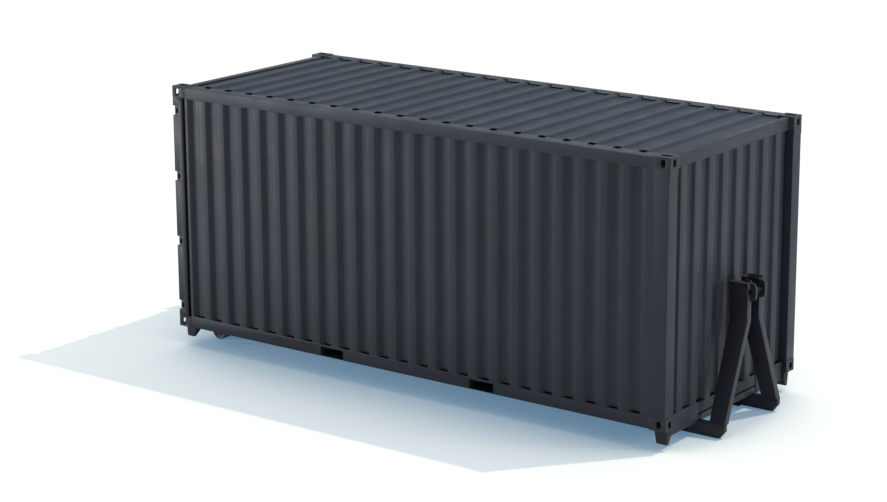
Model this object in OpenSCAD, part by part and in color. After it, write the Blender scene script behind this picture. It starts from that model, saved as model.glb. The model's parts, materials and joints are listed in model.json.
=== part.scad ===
// Hooklift container: a corrugated steel box container on a hook-lift subframe.
// +X points to the hook end, +Y to the left side, +Z up; the origin is on the ground,
// under the middle of the whole object. Heights inside the box are counted from the
// underside of the bottom corner castings.

/* [Container] */
// Length over the corner castings
container_l = 6058; // [5800:10:6300]
// Width over the corner castings
container_w = 2438; // [2300:2:2500]
// Height from the underside of the bottom castings to the top of the top castings
container_h = 2591; // [2400:1:2900]
// Height of the castings' underside above the ground
ride_h = 212; // [190:1:230]

/* [Sheets] */
// Thickness of the wall, roof and door sheets
sheet_t = 2; // [1.6:0.2:3]
// Pitch of the side wall corrugation
rib_pitch = 246.5; // [240:0.5:260]
// Width of a side wall crown
rib_crown = 87; // [80:1:95]
// Width of a side wall slope
rib_slope = 40; // [30:1:42]
// Depth of the wall corrugation
rib_depth = 36; // [25:1:40]
// Pitch of the roof ridges
ridge_pitch = 279; // [260:1:285]
// Width of a roof ridge's crown
ridge_crown = 62; // [50:1:80]
// Height of a roof ridge
ridge_h = 33; // [25:1:33]

/* [Frame] */
// Height of the side rails' outer faces
rail_h = 122; // [110:1:130]
// Width of the flat strip on top of the top side rails
strip_w = 166; // [150:1:180]
// Distance from mid-length to each fork pocket
pocket_x = 934; // [900:1:970]
// Width of a fork pocket
pocket_w = 292; // [260:1:320]
// Thickness of the floor boards
floor_t = 28; // [20:1:32]
// Length of the strap under each end of a fork pocket
strap_l = 320; // [250:10:400]

/* [Hook frame] */
// Width over the subframe's two long rails
gauge = 1060; // [1040:1:1070]
// Height of the hook bar's axis above the ground
hook_z = 1345; // [1300:1:1360]
// Distance of the hook bar's axis in front of the castings
hook_x = 232; // [228:1:240]
// Diameter of the hook bar
hook_bar_d = 50; // [45:1:60]
// Height of the cheeks that carry the hook bar
cheek_h = 175; // [150:1:180]
// Thickness of the legs of the hook frame
leg_t = 73; // [60:1:75]

/* [Rollers] */
// Diameter of a ground roller
roller_d = 190; // [170:1:195]
// Length of a ground roller
roller_l = 190; // [150:1:200]

/* [Doors] */
// Recess of the door leaves behind the castings' end plane
leaf_recess = 75; // [72:1:78]
// Thickness of a door leaf
leaf_t = 46; // [40:1:46]
// Diameter of a lock rod
rod_d = 34; // [28:1:36]

/* [Hidden] */
$fn = 16;

box_paint = "#3a3f48";
frame_paint = "#22262d";
dark_rubber = "#15171a";
timber = "#8a6a48";
bare_steel = "#5c6066";

eps = 1; // overrun of cuts past the face they open
cheek_nose = 50; // from the bar's axis to the front edge of a cheek
hook_reach = hook_x + cheek_nose;
x_rear = -(container_l + hook_reach) / 2;
x_front = x_rear + container_l;
x_mid = (x_rear + x_front) / 2;
y_side = container_w / 2;

// Corner castings
cast_l = 178;
cast_w = 162;
cast_h = 118;
cast_r = 14; // rounding of the outer vertical corner
cast_end_wall = 16;
cast_top_wall = 28;
hole_w = 51; // side and end holes
hole_h = 80;
hole_z = 57; // height of a hole's middle above the casting's underside
side_hole_x = 76; // distance of the side hole from the end
top_hole_l = 124;
top_hole_w = 63;

// Frame heights
rail_z = 8; // underside of the bottom side rails
top_cast_z = container_h - cast_h;
floor_z = 118; // underside of the floor boards
floor_top = floor_z + floor_t;
strip_z = container_h - 10; // top of the top side rails
top_rail_z = strip_z - 111; // underside of the top side rails
rail_t = 5;
rail_flange = 44;
pocket_z = [rail_z + 12, rail_z + 99]; // clear height of a fork pocket
pocket_t = 5; // plates of a fork pocket
top_rail_w = 60; // thickness of the lower part of the top rails
top_rail_t = 5; // wall of a top rail
lip = 24; // ledge under the edge of the roof sheet
lip_t = 6;
valley_z = strip_z - 23; // upper face of the roof sheet between ridges
ridge_slope = 16;
member_z = rail_z + rail_t; // underside of the cross members

// End frames: distances inward from the castings' end plane
post_in = 8;
post_t = 6; // wall of a post, sill or header
rear_post_l = 136;
rear_post_t = 10;
front_post_w = 150;
front_face = 58;
front_beam_l = 60;
front_back = front_face + front_beam_l;
rear_face = 80;
rear_back = rear_face + 80;
stop_y = 95; // how far a rear post's door stop reaches inward
front_sill_top = 106;
header_z = 2455 + container_h - 2591;
rear_header_z = header_z + 5;

// Side wall grooves
first_crown_end = 214;
first_crown_start = 177;
last_crown = 20; // the least width of the last crown, at the front post
rib_count = 1 + floor((container_l - cast_l - first_crown_end - rib_pitch + rib_crown - last_crown)
  / rib_pitch);

// Doors, in distances inward from the end plane (x) and from the side plane (y)
hinge_x = 40;
hinge_y = 14;
knuckle_r = 12;
pin_r = 7;
leaf_y0 = 66;
leaf_y1 = y_side - 6;
leaf_z0 = floor_top + 10;
leaf_z1 = rear_header_z - 10;
leaf_side = 100;
leaf_end = 110;
hinge_h = 100;
lug_h = 24;
hinge_z = [for (k = [0:3]) 232 + 700 * k];
notch_l = 80; // length of a hinge notch from the end plane
rod_x = 50;
rod_y = [320, 1010];
cam_z = [75, rear_header_z + 60];
handle_z = [1110, 1200];
handle_l = 480;
handle_x = 38;
handle_t = 8;
handle_w = 38;

// Subframe, heights from the castings' underside
ground = -ride_h;
arm_top = -70;
arm_tip = 228;
arm_t = 48;
beam_l = 112; // length along x of the front beam, whose face is flush with the sill's
beam_z = [-84, -20];
gusset_y = 545; // half the gap between the two front gussets
gusset_t = 8;
tie_h = 100;

// Hook frame legs
knee_z = 850;
leg_top = 1222;
leg_gap = 146; // distance between the legs above the knee
leg_back = 61; // back edge of a leg's foot, in front of the castings
leg_lean = 8; // how far the front edge of a leg leans back over its height
cheek_t = 30;
guard_t = 12;
guard_end = 218; // front end of the flat bars on the legs' tops
guards = [ // back end and near face of each bar
  [150, -leg_gap / 2 - guard_t], [96, leg_gap / 2], [60, leg_gap / 2 + leg_t - guard_t]
];
guard_h = 20;
bar_z = hook_z - ride_h;

roller_x = 214;
roller_y = 389; // outer face of a roller, from the side plane
axle_d = 40;
pin_play = 0.3; // gap all round a pin, an axle or a rod in its bore

// ---------------------------------------------------------------- placing

// Local axes: x inward from the rear castings' end plane, y inward from the right side
module rear_right() { translate([x_rear, -y_side, ride_h]) children(); }

// The same at the front end
module front_right() { translate([x_front, -y_side, ride_h]) mirror([1, 0, 0]) children(); }

// Children as drawn and mirrored to the left side
module both_sides() { children(); mirror([0, 1, 0]) children(); }

// Outline in local x and y, raised from z0 to z1
module raise(z0, z1) { translate([0, 0, z0]) linear_extrude(z1 - z0) children(); }

// Outline in y and z, run along x from x0 to x1
module run_x(x0, x1) {
  translate([x0, 0, 0]) rotate([90, 0, 90]) linear_extrude(x1 - x0) children();
}

// Outline in x and z, run along y from y0 to y1
module run_y(y0, y1) {
  translate([0, y1, 0]) rotate([90, 0, 0]) linear_extrude(y1 - y0) children();
}

// Slot with round ends, long along its first axis
module slot(l, w) {
  square([l - w, w], center = true);
  for (s = [-1, 1]) translate([s * (l - w) / 2, 0]) circle(d = w);
}

module block(x0, x1, y0, y1, z0, z1) {
  translate([x0, y0, z0]) cube([x1 - x0, y1 - y0, z1 - z0]);
}

// Closed outline of a sheet that follows a path, with thickness t toward +y
function sheet_outline(path, t) =
  concat(path, [for (i = [len(path) - 1:-1:0]) [path[i][0], path[i][1] + t]]);

// ---------------------------------------------------------------- castings

module casting_plan() {
  difference() {
    square([cast_l, cast_w]);
    square(cast_r);
  }
  translate([cast_r, cast_r]) circle(r = cast_r);
}

// Box section with walls t thick, standing, open at its top and bottom ends
module box_post(x0, x1, y0, y1, z0, z1, t) {
  difference() {
    block(x0, x1, y0, y1, z0, z1);
    block(x0 + t, x1 - t, y0 + t, y1 - t, z0 - eps, z1 + eps);
  }
}

// The same lying across the container, open at its two ends
module box_beam(x0, x1, y0, y1, z0, z1, t) {
  difference() {
    block(x0, x1, y0, y1, z0, z1);
    block(x0 + t, x1 - t, y0 - eps, y1 + eps, z0 + t, z1 - t);
  }
}

// Hollow casting, its outer corner at the local origin; face_z is the height of the
// horizontal face with the long hole, which is the top or the underside
module casting(z0, hole_up) {
  face_z = hole_up ? z0 + cast_h - cast_top_wall - eps : z0 - eps;
  difference() {
    raise(z0, z0 + cast_h) casting_plan();
    block(cast_end_wall, cast_l - 14, cast_end_wall, cast_w - 14,
      z0 + (hole_up ? 12 : cast_top_wall), z0 + cast_h - (hole_up ? cast_top_wall : 12));
    translate([side_hole_x, 0, z0 + hole_z]) run_y(-eps, cast_end_wall + eps)
      rotate(90) slot(hole_h, hole_w);
    translate([0, side_hole_x, z0 + hole_z]) run_x(-eps, cast_end_wall + eps)
      rotate(90) slot(hole_h, hole_w);
    translate([cast_l / 2, cast_w / 2, face_z]) linear_extrude(cast_top_wall + 2 * eps)
      slot(top_hole_l, top_hole_w);
  }
}

module castings(z0, hole_up) {
  color(box_paint) both_sides() {
    rear_right() casting(z0, hole_up);
    front_right() casting(z0, hole_up);
  }
}

module top_castings() { castings(top_cast_z, true); }
module bottom_castings() { castings(0, false); }

// ---------------------------------------------------------------- rails

module bottom_rail_outline() {
  translate([0, rail_z]) difference() {
    square([rail_flange, rail_h]);
    translate([rail_t, rail_t]) square([rail_flange, rail_h - 2 * rail_t]);
  }
}

module bottom_rails() {
  color(box_paint) both_sides() translate([0, -y_side, ride_h]) difference() {
    run_x(x_rear + cast_l, x_front - cast_l) bottom_rail_outline();
    for (s = [-1, 1]) translate([x_mid + s * pocket_x, 0, 0])
      block(-pocket_w / 2, pocket_w / 2, -eps, rail_flange + eps, rail_z - eps, pocket_z[1]);
  }
}

// Folded section of a top rail: a deep box at the side, and a shallow one under the strip
// with the ledge that the roof sheet lies on
module top_rail_outline() {
  ledge_z = valley_z - sheet_t;
  difference() {
    polygon([
      [0, top_rail_z], [top_rail_w, top_rail_z], [top_rail_w, ledge_z - lip_t],
      [strip_w + lip, ledge_z - lip_t], [strip_w + lip, ledge_z], [strip_w, ledge_z],
      [strip_w, strip_z], [0, strip_z]
    ]);
    polygon([
      [top_rail_t, top_rail_z + top_rail_t], [top_rail_w - top_rail_t, top_rail_z + top_rail_t],
      [top_rail_w - top_rail_t, ledge_z], [strip_w - top_rail_t, ledge_z],
      [strip_w - top_rail_t, strip_z - top_rail_t], [top_rail_t, strip_z - top_rail_t]
    ]);
  }
}

module top_rails() {
  color(box_paint) both_sides() translate([0, -y_side, ride_h])
    run_x(x_rear + cast_l, x_front - cast_l) top_rail_outline();
}

// ---------------------------------------------------------------- end frames

module front_posts() {
  color(box_paint) both_sides() front_right()
    box_post(post_in, cast_l, 0, front_post_w, cast_h, top_cast_z, post_t);
}

module rear_post_plan() {
  square([rear_post_l - post_in, rear_post_t]);
  square([10, 40]);
  translate([rear_post_l - post_in - 10, 0]) square([10, stop_y]);
}

module rear_posts() {
  color(box_paint) both_sides() rear_right() difference() {
    translate([post_in, 0, 0]) raise(cast_h, top_cast_z) rear_post_plan();
    for (z = hinge_z)
      block(0, notch_l, -eps, 40 + eps, z - hinge_h / 2, z + hinge_h / 2);
  }
}

// Ledge under the end of the roof sheet
module roof_ledge(back_x) {
  y0 = strip_w + lip;
  block(back_x, back_x + lip, y0, container_w - y0,
    valley_z - sheet_t - lip_t, valley_z - sheet_t);
}

module front_sill() {
  color(box_paint) front_right()
    box_beam(front_face, front_back, cast_w, container_w - cast_w, 0, front_sill_top, post_t);
}

// Hollow cross beam of an end frame in two parts, one on the other: from z0 to z1 it
// starts y1 in from the sides, and from z1 to z2 it starts y2 in
module end_beam(x0, x1, y1, z0, z1, y2, z2) {
  difference() {
    union() {
      block(x0, x1, y1, container_w - y1, z0, z1);
      block(x0, x1, y2, container_w - y2, z1, z2);
    }
    block(x0 + post_t, x1 - post_t, 0, container_w, z0 + post_t, z2 - post_t);
  }
}

module front_header() {
  color(box_paint) front_right() {
    end_beam(front_face, front_back, front_post_w, header_z, top_cast_z, cast_w, strip_z);
    roof_ledge(front_back);
  }
}

module rear_sill() {
  color(box_paint) rear_right() {
    end_beam(rear_face, rear_back, cast_w, rail_z, cast_h, stop_y, floor_top);
  }
}

module rear_header() {
  color(box_paint) rear_right() {
    end_beam(rear_face, rear_back, stop_y, rear_header_z, top_cast_z, cast_w, strip_z);
    roof_ledge(rear_back);
  }
}

// ---------------------------------------------------------------- walls and roof

function groove(x) = [
  [x, 0], [x + rib_slope, rib_depth],
  [x + rib_pitch - rib_crown - rib_slope, rib_depth], [x + rib_pitch - rib_crown, 0]
];

side_path = concat(
  [[rear_post_l, rib_depth], [first_crown_start - 12, rib_depth], [first_crown_start, 0]],
  [for (k = [0:rib_count - 1]) each groove(first_crown_end + k * rib_pitch)],
  [[container_l - cast_l, 0]]
);

module side_wall() {
  translate([x_rear, -y_side, ride_h])
    raise(rail_z + rail_h, top_rail_z) polygon(sheet_outline(side_path, sheet_t));
}

module side_wall_right() { color(box_paint) side_wall(); }
module side_wall_left() { color(box_paint) mirror([0, 1, 0]) side_wall(); }

// Front wall: eight crowns, the middle of the wall falls in a groove
end_pitch = 250;
end_crown = 104;
end_slope = 18;
wall_in = 2; // crowns' recess behind the sill's face
end_path = concat(
  [[-(y_side - front_post_w), rib_depth]],
  [for (k = [-4:3]) let (c = (k + 0.5) * end_pitch) each [
    [c - end_crown / 2 - end_slope, rib_depth], [c - end_crown / 2, 0],
    [c + end_crown / 2, 0], [c + end_crown / 2 + end_slope, rib_depth]]],
  [[y_side - front_post_w, rib_depth]]
);

// The sheet's lower corners are cut round the bottom castings
module front_wall() {
  color(box_paint) translate([x_front - front_face - wall_in, 0, ride_h]) rotate(90)
    difference() {
      raise(front_sill_top, header_z) polygon(sheet_outline(end_path, sheet_t));
      for (s = [-1, 1]) scale([s, 1, 1])
        block(y_side - cast_w, y_side, -eps, 2 * rib_depth, front_sill_top - eps, cast_h);
    }
}

ridge_count = 2 * floor((container_l / 2 - 200) / ridge_pitch);
roof_path = concat(
  [[x_rear + rear_back, 0]],
  [for (k = [0:ridge_count - 1])
    let (c = x_mid + (k - (ridge_count - 1) / 2) * ridge_pitch) each [
      [c - ridge_crown / 2 - ridge_slope, 0], [c - ridge_crown / 2, ridge_h],
      [c + ridge_crown / 2, ridge_h], [c + ridge_crown / 2 + ridge_slope, 0]]],
  [[x_front - front_back, 0]]
);

module roof() {
  color(box_paint) translate([0, 0, ride_h + valley_z - sheet_t])
    run_y(-(y_side - strip_w), y_side - strip_w) polygon(sheet_outline(roof_path, sheet_t));
}

// ---------------------------------------------------------------- floor and underside

module floor_boards() {
  color(timber) translate([0, 0, ride_h]) {
    block(x_rear + rear_back, x_front - cast_l,
      -(y_side - rail_flange), y_side - rail_flange, floor_z, floor_top);
    block(x_front - cast_l, x_front - front_back,
      -(y_side - front_post_w), y_side - front_post_w, floor_z, floor_top);
  }
}

member_flange = 45;
member_t = 5;
member_x = [140, 420, 680, 1210, 1510, 1810, 2110, 2410, 2700];

module cross_member() {
  run_y(-(y_side - rail_t), y_side - rail_t) difference() {
    translate([0, member_z]) square([member_flange, floor_z - member_z]);
    translate([member_t, member_z + member_t])
      square([member_flange, floor_z - member_z - 2 * member_t]);
  }
}

module cross_members() {
  color(frame_paint) translate([x_mid, 0, ride_h]) for (x = member_x) {
    translate([x, 0, 0]) cross_member();
    mirror([1, 0, 0]) translate([x, 0, 0]) cross_member();
  }
}

// Pocket from side to side, open below but for a strap at each end, which fits between
// the rail's flanges and then widens under the pocket's side plates
module fork_pocket() {
  y_end = y_side - rail_t;
  run_y(-y_end, y_end) difference() {
    translate([-pocket_w / 2 - pocket_t, member_z])
      square([pocket_w + 2 * pocket_t, floor_z - member_z]);
    translate([-pocket_w / 2, member_z - eps]) square([pocket_w, pocket_z[1] - member_z + eps]);
  }
  both_sides() for (strap = [[pocket_w / 2 - 1, -y_end], [pocket_w / 2 + pocket_t, rail_flange - y_side]])
    block(-strap[0], strap[0], strap[1], strap_l - y_side, rail_z, rail_z + pocket_t);
}

module fork_pockets() {
  color(frame_paint) translate([x_mid, 0, ride_h]) for (s = [-1, 1])
    translate([s * pocket_x, 0, 0]) fork_pocket();
}

// Foot under a casting, h high; its two outer faces are steep and its two inner faces
// slope. x_top and x_bottom are the ends of the face seen from the side
foot_y = [70, 160]; // the foot's outer and inner ends at its top, seen from the end
foot_bottom_y = [80, 112];
foot_knee_z = -62; // the inner end is upright down to here
module foot(h, x_top, x_bottom) {
  intersection() {
    run_y(0, cast_w) polygon([[x_top[0], 0], [x_top[1], 0], [x_bottom[1], -h], [x_bottom[0], -h]]);
    run_x(0, 2 * cast_l) polygon([
      [foot_y[0], 0], [foot_y[1], 0], [foot_y[1], foot_knee_z],
      [foot_bottom_y[1], -h], [foot_bottom_y[0], -h]
    ]);
  }
}

module corner_feet() {
  color(frame_paint) both_sides() {
    rear_right() foot(125, [41, 177], [43, 133]);
    front_right() foot(150, [25, 168], [30, 143]);
  }
}

// ---------------------------------------------------------------- subframe

// I-section of a long rail, its outer face at y = 0
module i_outline(w, web, flange, z0, z1) {
  translate([0, z0]) square([w, flange]);
  translate([0, z1 - flange]) square([w, flange]);
  translate([(w - web) / 2, z0]) square([web, z1 - z0]);
}

module subframe_rail() {
  y0 = -gauge / 2;
  rail_end = front_face + beam_l;
  translate([0, y0, ride_h]) {
    run_x(x_rear + rear_back, x_front - rail_end) i_outline(100, 8, 12, ground, member_z);
    translate([x_front, 0, 0]) run_y(0, arm_t) polygon([
      [-rail_end, ground], [arm_tip - 60, ground], [arm_tip, ground + 75],
      [arm_tip, arm_top], [-rail_end, arm_top]
    ]);
  }
}

module subframe_rails() { color(frame_paint) both_sides() subframe_rail(); }

// Cross beam under the front sill, notched over the two arms
module subframe_front_beam() {
  color(frame_paint) front_right() difference() {
    block(front_face, front_face + beam_l, cast_w, container_w - cast_w, beam_z[0], beam_z[1]);
    for (y = [-gauge / 2, gauge / 2 - arm_t]) translate([0, y_side + y, 0])
      block(0, 2 * cast_l, 0, arm_t, beam_z[0] - eps, arm_top);
  }
}

// Plates over the sill and the beam, from each corner casting to the arms
module front_gussets() {
  color(box_paint) both_sides() front_right()
    translate([front_face - gusset_t, 0, 0]) run_x(0, gusset_t) polygon([
      [cast_w, beam_z[0]], [y_side - gusset_y - 15, beam_z[0]],
      [y_side - gusset_y, beam_z[0] + 15], [y_side - gusset_y, front_sill_top],
      [cast_w, front_sill_top]
    ]);
}

tie_x = [-2500, -1500, -500, 500, 1500, 2500];
module subframe_ties() {
  web_y = gauge / 2 - 54;
  color(frame_paint) translate([x_mid, 0, ride_h]) for (x = tie_x)
    translate([x, 0, 0]) run_y(-web_y, web_y) difference() {
      translate([0, member_z - 15 - tie_h]) square([50, tie_h]);
      translate([7, member_z - 8 - tie_h]) square([50, tie_h - 14]);
    }
}

// ---------------------------------------------------------------- hook frame

// Front edge of a leg, as a distance in front of the castings, at height z
function leg_front(z) = arm_tip - leg_lean * (z - arm_top) / (leg_top - arm_top);

// Leg from an arm up to the knee and straight up beside the hook, with a seat for the bar
module hook_leg() {
  run = gauge / 2 - leg_gap / 2 - leg_t;
  rise = knee_z - arm_top;
  y_out = -gauge / 2;
  y_in = -leg_gap / 2;
  knee_in = arm_top + (y_in - y_out - leg_t) * rise / run;
  translate([x_front, 0, ride_h]) difference() {
    intersection() {
      run_x(0, arm_tip + 10) polygon([
        [y_out, arm_top], [y_in - leg_t, knee_z], [y_in - leg_t, leg_top],
        [y_in, leg_top], [y_in, knee_z], [y_out + leg_t, arm_top]
      ]);
      run_y(-gauge, 0) polygon([
        [leg_back, arm_top], [leg_front(arm_top), arm_top], [leg_front(leg_top), leg_top],
        [leg_back - 41, leg_top]
      ]);
    }
    run_y(-gauge, 0) translate([hook_x, bar_z]) circle(d = hook_bar_d);
  }
}

module hook_leg_right() { color(frame_paint) hook_leg(); }
module hook_leg_left() { color(frame_paint) mirror([0, 1, 0]) hook_leg(); }

// Cheek plate with a rounded nose, welded to the front edge of a leg
module cheek_outline() {
  difference() {
    union() {
      translate([0, bar_z - cheek_h / 2 + cheek_nose])
        square([hook_reach, cheek_h - 2 * cheek_nose]);
      translate([0, bar_z - cheek_h / 2]) square([hook_x, cheek_h]);
      for (s = [-1, 1]) translate([hook_x, bar_z + s * (cheek_h / 2 - cheek_nose)])
        circle(r = cheek_nose);
    }
    polygon([
      [-eps, bar_z - cheek_h], [leg_front(bar_z - cheek_h), bar_z - cheek_h],
      [leg_front(bar_z + cheek_h), bar_z + cheek_h], [-eps, bar_z + cheek_h]
    ]);
    translate([hook_x, bar_z]) circle(d = hook_bar_d);
  }
}

module hook_cheeks() {
  color(frame_paint) both_sides() translate([x_front, 0, ride_h])
    run_y(-leg_gap / 2 - cheek_t, -leg_gap / 2) cheek_outline();
}

module hook_bar() {
  half = leg_gap / 2 + cheek_t;
  color(bare_steel) translate([x_front + hook_x, half, hook_z]) rotate([90, 0, 0])
    cylinder(d = hook_bar_d, h = 2 * half);
}

// Flat bars on edge along the tops of the legs, beside the way of the truck's hook
module hook_guard() {
  color(frame_paint) translate([x_front, 0, ride_h]) for (g = guards)
    block(g[0], guard_end, g[1], g[1] + guard_t, leg_top, leg_top + guard_h);
}

// ---------------------------------------------------------------- rollers

axle_z = ground + roller_d / 2;
bracket_t = 16; // side plates of a roller's bracket
bracket_gap = 8; // between a side plate and the roller's end
bracket_top = member_z - 12; // underside of the bracket's top plate
bracket_bottom = axle_z - 30;
axle_out = 30; // axle's end beyond the roller's end

// Two side plates under a top plate, which starts at the sill's back face
module roller_bracket() {
  y0 = roller_y - bracket_gap - bracket_t;
  y1 = roller_y + roller_l + bracket_gap;
  translate([roller_x, 0, 0]) {
    block(rear_back - roller_x, 100, y0, y1 + bracket_t, bracket_top, member_z);
    for (y = [y0, y1]) run_y(y, y + bracket_t) difference() {
      polygon([[-69, bracket_top], [-42, bracket_bottom], [42, bracket_bottom], [95, bracket_top]]);
      translate([0, axle_z]) circle(d = axle_d);
    }
  }
}

module roller_brackets() { color(frame_paint) both_sides() rear_right() roller_bracket(); }

module roller_axles() {
  color(bare_steel) both_sides() rear_right()
    translate([roller_x, roller_y + roller_l + axle_out, axle_z]) rotate([90, 0, 0])
      cylinder(d = axle_d, h = roller_l + 2 * axle_out);
}

// Roller with a ring-shaped recess in each end, between its rim and its hub
rim_t = 18;
hub_t = 17;
recess = 12;
module roller() {
  rear_right() translate([roller_x, roller_y + roller_l, axle_z])
    rotate([90, 0, 0]) difference() {
      cylinder(d = roller_d, h = roller_l, $fn = 40);
      translate([0, 0, -eps]) cylinder(d = axle_d + 2 * pin_play, h = roller_l + 2 * eps);
      for (z = [-eps, roller_l - recess]) translate([0, 0, z]) difference() {
        cylinder(d = roller_d - 2 * rim_t, h = recess + eps);
        translate([0, 0, -eps]) cylinder(d = axle_d + 2 * hub_t, h = recess + 3 * eps);
      }
    }
}

module roller_right() { color(frame_paint) roller(); }
module roller_left() { color(frame_paint) mirror([0, 1, 0]) roller(); }

// ---------------------------------------------------------------- doors

// Lugs of one hinge on the post, joined by the pin
module hinge_lug_pair(z) {
  translate([hinge_x, hinge_y, z - hinge_h / 2]) {
    for (dz = [0, hinge_h - lug_h]) translate([0, 0, dz]) {
      cylinder(r = knuckle_r, h = lug_h);
      translate([0, -knuckle_r, 0]) cube([notch_l - hinge_x, 2 * knuckle_r, lug_h]);
    }
    cylinder(r = pin_r, h = hinge_h);
  }
}

module hinge_lugs() {
  color(frame_paint) both_sides() rear_right() for (z = hinge_z) hinge_lug_pair(z);
}

module door_frame() {
  rear_right() difference() {
    block(leaf_recess, leaf_recess + leaf_t, leaf_y0, leaf_y1, leaf_z0, leaf_z1);
    block(leaf_recess - eps, leaf_recess + leaf_t + eps, leaf_y0 + leaf_side,
      leaf_y1 - leaf_side, leaf_z0 + leaf_end, leaf_z1 - leaf_end);
  }
}

panel_ribs = 7;
panel_pitch = (leaf_z1 - leaf_z0 - 2 * leaf_end) / panel_ribs;
panel_depth = 28;
panel_in = 6; // recess of the panel's outer face in the leaf's frame
panel_path = concat(
  [[leaf_z0 + leaf_end, 0]],
  [for (k = [0:panel_ribs - 1]) let (c = leaf_z0 + leaf_end + (k + 0.5) * panel_pitch) each [
    [c - 60, 0], [c - 38, panel_depth], [c + 38, panel_depth], [c + 60, 0]]],
  [[leaf_z1 - leaf_end, 0]]
);

module door_panel() {
  rear_right() run_y(leaf_y0 + leaf_side, leaf_y1 - leaf_side)
    polygon([for (p = sheet_outline(panel_path, sheet_t)) [leaf_recess + panel_in + p[1], p[0]]]);
}

module door_gasket() {
  rear_right() difference() {
    block(leaf_recess + 24, leaf_recess + leaf_t - 2, leaf_y0 - 14, leaf_y1,
      leaf_z0 - 4, leaf_z1 + 4);
    block(leaf_recess, leaf_recess + leaf_t + eps, leaf_y0, leaf_y1 + eps, leaf_z0, leaf_z1);
  }
}

// Hinge blade: knuckle round the pin, arm to the leaf and strap on its outer face
module hinge_blade(z) {
  strap_x = leaf_recess - 12;
  blade_h = hinge_h - 2 * lug_h - 4;
  translate([0, 0, z - blade_h / 2]) difference() {
    linear_extrude(blade_h) {
      translate([hinge_x, hinge_y]) circle(r = knuckle_r);
      polygon([
        [hinge_x - 6, hinge_y + 9], [hinge_x + 10, hinge_y - 4],
        [strap_x + 12, leaf_y0 - 14], [strap_x + 12, leaf_y0 + 110],
        [strap_x, leaf_y0 + 110], [strap_x, leaf_y0 - 4]
      ]);
    }
    translate([hinge_x, hinge_y, -eps]) cylinder(r = pin_r + 0.25, h = blade_h + 2 * eps);
  }
}

module door_hinges() { rear_right() for (z = hinge_z) hinge_blade(z); }

// Bearing block of a rod on a foot plate; the ones between the door's end members reach
// back to the panel
guide_z = [leaf_z0 + 60, 850, 1700, leaf_z1 - 60];
module rod_guide(y, z) {
  on_panel = z > leaf_z0 + leaf_end && z < leaf_z1 - leaf_end;
  difference() {
    union() {
      block(leaf_recess - 8, leaf_recess + (on_panel ? panel_in : 0), y - 60, y + 60,
        z - 22, z + 22);
      block(rod_x, leaf_recess, y - 25, y + 25, z - 18, z + 18);
      translate([rod_x, y, z - 18]) cylinder(r = 25, h = 36);
    }
    translate([rod_x, y, z - 30]) cylinder(d = rod_d + 2 * pin_play, h = 60);
  }
}

// Bracket behind a handle's free end, with a lip that the handle rests over
module handle_catch(y, z) {
  block(handle_x + handle_t + 2, leaf_recess + panel_in, y - 25, y + 25, z - 24, z + 24);
  block(handle_x - 2, handle_x + handle_t + 2, y - 25, y + 25,
    z - handle_w / 2 - 8, z - handle_w / 2 - 2);
}

module rod_guides() {
  rear_right() {
    for (y = rod_y, z = guide_z) rod_guide(y, z);
    handle_catch(rod_y[0] + handle_l - 60, handle_z[0]);
    handle_catch(rod_y[1] - handle_l + 60, handle_z[1]);
  }
}

module lock_rod(y, handle_height, dir) {
  translate([rod_x, y, cam_z[0]]) cylinder(d = rod_d, h = cam_z[1] - cam_z[0]);
  for (z = cam_z)
    block(rod_x - rod_d / 2, rod_x + rod_d / 2, y - 22, y + 22, z - 20, z + 20);
  translate([rod_x, y, handle_height - 30]) cylinder(d = rod_d + 12, h = 60);
  translate([handle_x, y, handle_height - handle_w / 2]) mirror([0, dir < 0 ? 1 : 0, 0])
    cube([handle_t, handle_l, handle_w]);
}

module lock_rods() {
  rear_right() {
    lock_rod(rod_y[0], handle_z[0], 1);
    lock_rod(rod_y[1], handle_z[1], -1);
  }
}

module lock_keeper(y, z) {
  block(rear_face - 5, rear_face, y - 44, y + 44, z - 30, z + 30);
  for (s = [-1, 1]) translate([0, y + s * 34, 0])
    block(30, rear_face - 5, -6, 6, z - 30, z + 30);
}

module lock_keepers() {
  color(frame_paint) both_sides() rear_right()
    for (y = rod_y, z = cam_z) lock_keeper(y, z);
}

module door_frame_right() { color(box_paint) door_frame(); }
module door_panel_right() { color(box_paint) door_panel(); }
module door_gasket_right() { color(dark_rubber) door_gasket(); }
module door_hinges_right() { color(frame_paint) door_hinges(); }
module rod_guides_right() { color(frame_paint) rod_guides(); }
module lock_rods_right() { color(frame_paint) lock_rods(); }
module door_frame_left() { color(box_paint) mirror([0, 1, 0]) door_frame(); }
module door_panel_left() { color(box_paint) mirror([0, 1, 0]) door_panel(); }
module door_gasket_left() { color(dark_rubber) mirror([0, 1, 0]) door_gasket(); }
module door_hinges_left() { color(frame_paint) mirror([0, 1, 0]) door_hinges(); }
module rod_guides_left() { color(frame_paint) mirror([0, 1, 0]) rod_guides(); }
module lock_rods_left() { color(frame_paint) mirror([0, 1, 0]) lock_rods(); }

// ---------------------------------------------------------------- output

bottom_rails();
top_rails();
front_posts();
rear_posts();
front_sill();
front_header();
rear_sill();
rear_header();
side_wall_right();
side_wall_left();
front_wall();
roof();
floor_boards();
cross_members();
fork_pockets();
top_castings();
bottom_castings();
corner_feet();
subframe_rails();
subframe_front_beam();
front_gussets();
subframe_ties();
hook_leg_right();
hook_leg_left();
hook_cheeks();
hook_bar();
hook_guard();
roller_brackets();
roller_axles();
roller_right();
roller_left();
hinge_lugs();
lock_keepers();
door_frame_right();
door_panel_right();
door_gasket_right();
door_hinges_right();
rod_guides_right();
lock_rods_right();
door_frame_left();
door_panel_left();
door_gasket_left();
door_hinges_left();
rod_guides_left();
lock_rods_left();
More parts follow.
